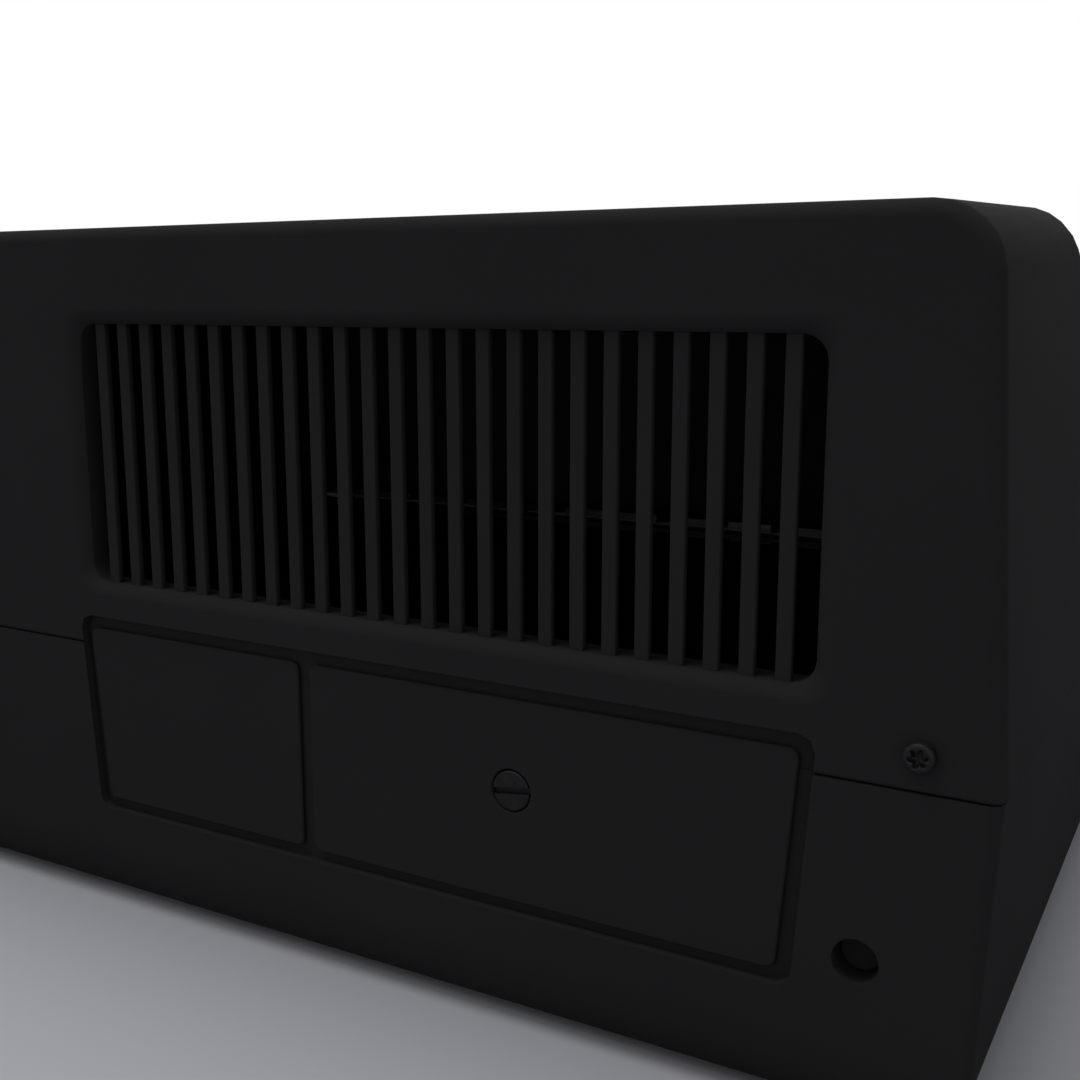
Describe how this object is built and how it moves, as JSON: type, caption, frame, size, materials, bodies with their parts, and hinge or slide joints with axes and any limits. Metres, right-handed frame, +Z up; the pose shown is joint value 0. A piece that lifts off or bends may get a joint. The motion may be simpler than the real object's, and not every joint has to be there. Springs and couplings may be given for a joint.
{
  "type": "vintage home computer",
  "caption": "Dark moulded home computer with a raised, vented rear housing, removable slot covers and a sloping keyboard deck.",
  "frame": {"origin": "on the floor, under the middle of the computer", "axes": "+X to the right as the user sees it, +Y from the user towards the rear panel, +Z up"},
  "size_m": [0.3598, 0.3028, 0.173],
  "materials": {
    "case_plastic": "near-black moulded case plastic with a fine even grain",
    "key_plastic": "charcoal key caps, finely grained, slightly polished on top by use",
    "dark_steel": "black-oxide steel, worn a little brighter on its edges",
    "plate_steel": "black painted steel sheet",
    "speaker_cone": "black painted frame and dark cone",
    "circuit_board": "green solder mask over glass-fibre board",
    "heat_sink_aluminium": "black anodised extruded aluminium",
    "socket_plastic": "smooth black moulding",
    "foot_rubber": "black rubber strip"
  },
  "bodies": {
    "case": {"bottom_tray": "case_plastic", "top_cover": "case_plastic", "vent_grille": "case_plastic", "near_case_screw": "dark_steel", "far_case_screw": "dark_steel", "video_socket": "socket_plastic", "power_inlet": "socket_plastic", "main_board": "circuit_board", "expansion_riser": "circuit_board", "heat_sink": "heat_sink_aluminium", "front_foot_strip": "foot_rubber", "rear_foot_strip": "foot_rubber", "keyboard_plate": "plate_steel", "speaker": "speaker_cone"},
    "key_1": {"key_1": "key_plastic"},
    "key_2": {"key_2": "key_plastic"},
    "key_3": {"key_3": "key_plastic"},
    "key_4": {"key_4": "key_plastic"},
    "key_5": {"key_5": "key_plastic"},
    "key_6": {"key_6": "key_plastic"},
    "key_7": {"key_7": "key_plastic"},
    "key_8": {"key_8": "key_plastic"},
    "key_9": {"key_9": "key_plastic"},
    "key_0": {"key_0": "key_plastic"},
    "key_q": {"key_q": "key_plastic"},
    "key_w": {"key_w": "key_plastic"},
    "key_e": {"key_e": "key_plastic"},
    "key_r": {"key_r": "key_plastic"},
    "key_t": {"key_t": "key_plastic"},
    "key_y": {"key_y": "key_plastic"},
    "key_u": {"key_u": "key_plastic"},
    "key_i": {"key_i": "key_plastic"},
    "key_o": {"key_o": "key_plastic"},
    "key_p": {"key_p": "key_plastic"},
    "key_a": {"key_a": "key_plastic"},
    "key_s": {"key_s": "key_plastic"},
    "key_d": {"key_d": "key_plastic"},
    "key_f": {"key_f": "key_plastic"},
    "key_g": {"key_g": "key_plastic"},
    "key_h": {"key_h": "key_plastic"},
    "key_j": {"key_j": "key_plastic"},
    "key_k": {"key_k": "key_plastic"},
    "key_l": {"key_l": "key_plastic"},
    "key_return": {"key_return": "key_plastic"},
    "key_shift": {"key_shift": "key_plastic"},
    "key_z": {"key_z": "key_plastic"},
    "key_x": {"key_x": "key_plastic"},
    "key_c": {"key_c": "key_plastic"},
    "key_v": {"key_v": "key_plastic"},
    "key_b": {"key_b": "key_plastic"},
    "key_n": {"key_n": "key_plastic"},
    "key_m": {"key_m": "key_plastic"},
    "key_comma": {"key_comma": "key_plastic"},
    "key_period": {"key_period": "key_plastic"},
    "space_bar": {"space_bar": "key_plastic"},
    "reset_button": {"reset_button": "case_plastic"},
    "power_rocker": {"power_rocker": "socket_plastic"},
    "large_slot_cover": {"large_slot_cover": "case_plastic"},
    "slot_cover_fastener": {"slot_cover_fastener": "dark_steel"},
    "small_slot_cover": {"small_slot_cover": "case_plastic"}
  },
  "joints": [
    {"name": "large_cover_pull", "type": "slide", "parent": "case", "child": "large_slot_cover", "axis": [0, 1, 0], "range_m": [0, 0.03]},
    {"name": "fastener_turn", "type": "hinge", "parent": "large_slot_cover", "child": "slot_cover_fastener", "pos_m": [-0.08189, 0.147, 0.0526], "axis": [0, 1, 0], "range_deg": [0, 90]},
    {"name": "small_cover_pull", "type": "slide", "parent": "case", "child": "small_slot_cover", "axis": [0, 1, 0], "range_m": [0, 0.03]},
    {"name": "rocker_tilt", "type": "hinge", "parent": "case", "child": "power_rocker", "pos_m": [0.142, 0.14445, 0.0405], "axis": [-1, 0, 0], "range_deg": [0, 16]},
    {"name": "reset_press", "type": "slide", "parent": "case", "child": "reset_button", "axis": [0, -1, 0], "range_m": [0, 0.0015], "stiffness_N_per_m": 200, "springref_m": -0.002},
    {"name": "space_bar_press", "type": "slide", "parent": "case", "child": "space_bar", "axis": [0, 0.0951, -0.9955], "range_m": [0, 0.0038], "stiffness_N_per_m": 150, "springref_m": -0.003},
    {"name": "key_shift_press", "type": "slide", "parent": "case", "child": "key_shift", "axis": [0, 0.0951, -0.9955], "range_m": [0, 0.0038], "stiffness_N_per_m": 120, "springref_m": -0.003},
    {"name": "key_return_press", "type": "slide", "parent": "case", "child": "key_return", "axis": [0, 0.0951, -0.9955], "range_m": [0, 0.0038], "stiffness_N_per_m": 120, "springref_m": -0.003},
    {"name": "key_1_press", "type": "slide", "parent": "case", "child": "key_1", "axis": [0, 0.0951, -0.9955], "range_m": [0, 0.0038], "stiffness_N_per_m": 120, "springref_m": -0.003},
    {"name": "key_2_press", "type": "slide", "parent": "case", "child": "key_2", "axis": [0, 0.0951, -0.9955], "range_m": [0, 0.0038], "stiffness_N_per_m": 120, "springref_m": -0.003},
    {"name": "key_3_press", "type": "slide", "parent": "case", "child": "key_3", "axis": [0, 0.0951, -0.9955], "range_m": [0, 0.0038], "stiffness_N_per_m": 120, "springref_m": -0.003},
    {"name": "key_4_press", "type": "slide", "parent": "case", "child": "key_4", "axis": [0, 0.0951, -0.9955], "range_m": [0, 0.0038], "stiffness_N_per_m": 120, "springref_m": -0.003},
    {"name": "key_5_press", "type": "slide", "parent": "case", "child": "key_5", "axis": [0, 0.0951, -0.9955], "range_m": [0, 0.0038], "stiffness_N_per_m": 120, "springref_m": -0.003},
    {"name": "key_6_press", "type": "slide", "parent": "case", "child": "key_6", "axis": [0, 0.0951, -0.9955], "range_m": [0, 0.0038], "stiffness_N_per_m": 120, "springref_m": -0.003},
    {"name": "key_7_press", "type": "slide", "parent": "case", "child": "key_7", "axis": [0, 0.0951, -0.9955], "range_m": [0, 0.0038], "stiffness_N_per_m": 120, "springref_m": -0.003},
    {"name": "key_8_press", "type": "slide", "parent": "case", "child": "key_8", "axis": [0, 0.0951, -0.9955], "range_m": [0, 0.0038], "stiffness_N_per_m": 120, "springref_m": -0.003},
    {"name": "key_9_press", "type": "slide", "parent": "case", "child": "key_9", "axis": [0, 0.0951, -0.9955], "range_m": [0, 0.0038], "stiffness_N_per_m": 120, "springref_m": -0.003},
    {"name": "key_0_press", "type": "slide", "parent": "case", "child": "key_0", "axis": [0, 0.0951, -0.9955], "range_m": [0, 0.0038], "stiffness_N_per_m": 120, "springref_m": -0.003},
    {"name": "key_q_press", "type": "slide", "parent": "case", "child": "key_q", "axis": [0, 0.0951, -0.9955], "range_m": [0, 0.0038], "stiffness_N_per_m": 120, "springref_m": -0.003},
    {"name": "key_w_press", "type": "slide", "parent": "case", "child": "key_w", "axis": [0, 0.0951, -0.9955], "range_m": [0, 0.0038], "stiffness_N_per_m": 120, "springref_m": -0.003},
    {"name": "key_e_press", "type": "slide", "parent": "case", "child": "key_e", "axis": [0, 0.0951, -0.9955], "range_m": [0, 0.0038], "stiffness_N_per_m": 120, "springref_m": -0.003},
    {"name": "key_r_press", "type": "slide", "parent": "case", "child": "key_r", "axis": [0, 0.0951, -0.9955], "range_m": [0, 0.0038], "stiffness_N_per_m": 120, "springref_m": -0.003},
    {"name": "key_t_press", "type": "slide", "parent": "case", "child": "key_t", "axis": [0, 0.0951, -0.9955], "range_m": [0, 0.0038], "stiffness_N_per_m": 120, "springref_m": -0.003},
    {"name": "key_y_press", "type": "slide", "parent": "case", "child": "key_y", "axis": [0, 0.0951, -0.9955], "range_m": [0, 0.0038], "stiffness_N_per_m": 120, "springref_m": -0.003},
    {"name": "key_u_press", "type": "slide", "parent": "case", "child": "key_u", "axis": [0, 0.0951, -0.9955], "range_m": [0, 0.0038], "stiffness_N_per_m": 120, "springref_m": -0.003},
    {"name": "key_i_press", "type": "slide", "parent": "case", "child": "key_i", "axis": [0, 0.0951, -0.9955], "range_m": [0, 0.0038], "stiffness_N_per_m": 120, "springref_m": -0.003},
    {"name": "key_o_press", "type": "slide", "parent": "case", "child": "key_o", "axis": [0, 0.0951, -0.9955], "range_m": [0, 0.0038], "stiffness_N_per_m": 120, "springref_m": -0.003},
    {"name": "key_p_press", "type": "slide", "parent": "case", "child": "key_p", "axis": [0, 0.0951, -0.9955], "range_m": [0, 0.0038], "stiffness_N_per_m": 120, "springref_m": -0.003},
    {"name": "key_a_press", "type": "slide", "parent": "case", "child": "key_a", "axis": [0, 0.0951, -0.9955], "range_m": [0, 0.0038], "stiffness_N_per_m": 120, "springref_m": -0.003},
    {"name": "key_s_press", "type": "slide", "parent": "case", "child": "key_s", "axis": [0, 0.0951, -0.9955], "range_m": [0, 0.0038], "stiffness_N_per_m": 120, "springref_m": -0.003},
    {"name": "key_d_press", "type": "slide", "parent": "case", "child": "key_d", "axis": [0, 0.0951, -0.9955], "range_m": [0, 0.0038], "stiffness_N_per_m": 120, "springref_m": -0.003},
    {"name": "key_f_press", "type": "slide", "parent": "case", "child": "key_f", "axis": [0, 0.0951, -0.9955], "range_m": [0, 0.0038], "stiffness_N_per_m": 120, "springref_m": -0.003},
    {"name": "key_g_press", "type": "slide", "parent": "case", "child": "key_g", "axis": [0, 0.0951, -0.9955], "range_m": [0, 0.0038], "stiffness_N_per_m": 120, "springref_m": -0.003},
    {"name": "key_h_press", "type": "slide", "parent": "case", "child": "key_h", "axis": [0, 0.0951, -0.9955], "range_m": [0, 0.0038], "stiffness_N_per_m": 120, "springref_m": -0.003},
    {"name": "key_j_press", "type": "slide", "parent": "case", "child": "key_j", "axis": [0, 0.0951, -0.9955], "range_m": [0, 0.0038], "stiffness_N_per_m": 120, "springref_m": -0.003},
    {"name": "key_k_press", "type": "slide", "parent": "case", "child": "key_k", "axis": [0, 0.0951, -0.9955], "range_m": [0, 0.0038], "stiffness_N_per_m": 120, "springref_m": -0.003},
    {"name": "key_l_press", "type": "slide", "parent": "case", "child": "key_l", "axis": [0, 0.0951, -0.9955], "range_m": [0, 0.0038], "stiffness_N_per_m": 120, "springref_m": -0.003},
    {"name": "key_z_press", "type": "slide", "parent": "case", "child": "key_z", "axis": [0, 0.0951, -0.9955], "range_m": [0, 0.0038], "stiffness_N_per_m": 120, "springref_m": -0.003},
    {"name": "key_x_press", "type": "slide", "parent": "case", "child": "key_x", "axis": [0, 0.0951, -0.9955], "range_m": [0, 0.0038], "stiffness_N_per_m": 120, "springref_m": -0.003},
    {"name": "key_c_press", "type": "slide", "parent": "case", "child": "key_c", "axis": [0, 0.0951, -0.9955], "range_m": [0, 0.0038], "stiffness_N_per_m": 120, "springref_m": -0.003},
    {"name": "key_v_press", "type": "slide", "parent": "case", "child": "key_v", "axis": [0, 0.0951, -0.9955], "range_m": [0, 0.0038], "stiffness_N_per_m": 120, "springref_m": -0.003},
    {"name": "key_b_press", "type": "slide", "parent": "case", "child": "key_b", "axis": [0, 0.0951, -0.9955], "range_m": [0, 0.0038], "stiffness_N_per_m": 120, "springref_m": -0.003},
    {"name": "key_n_press", "type": "slide", "parent": "case", "child": "key_n", "axis": [0, 0.0951, -0.9955], "range_m": [0, 0.0038], "stiffness_N_per_m": 120, "springref_m": -0.003},
    {"name": "key_m_press", "type": "slide", "parent": "case", "child": "key_m", "axis": [0, 0.0951, -0.9955], "range_m": [0, 0.0038], "stiffness_N_per_m": 120, "springref_m": -0.003},
    {"name": "key_comma_press", "type": "slide", "parent": "case", "child": "key_comma", "axis": [0, 0.0951, -0.9955], "range_m": [0, 0.0038], "stiffness_N_per_m": 120, "springref_m": -0.003},
    {"name": "key_period_press", "type": "slide", "parent": "case", "child": "key_period", "axis": [0, 0.0951, -0.9955], "range_m": [0, 0.0038], "stiffness_N_per_m": 120, "springref_m": -0.003}
  ]
}
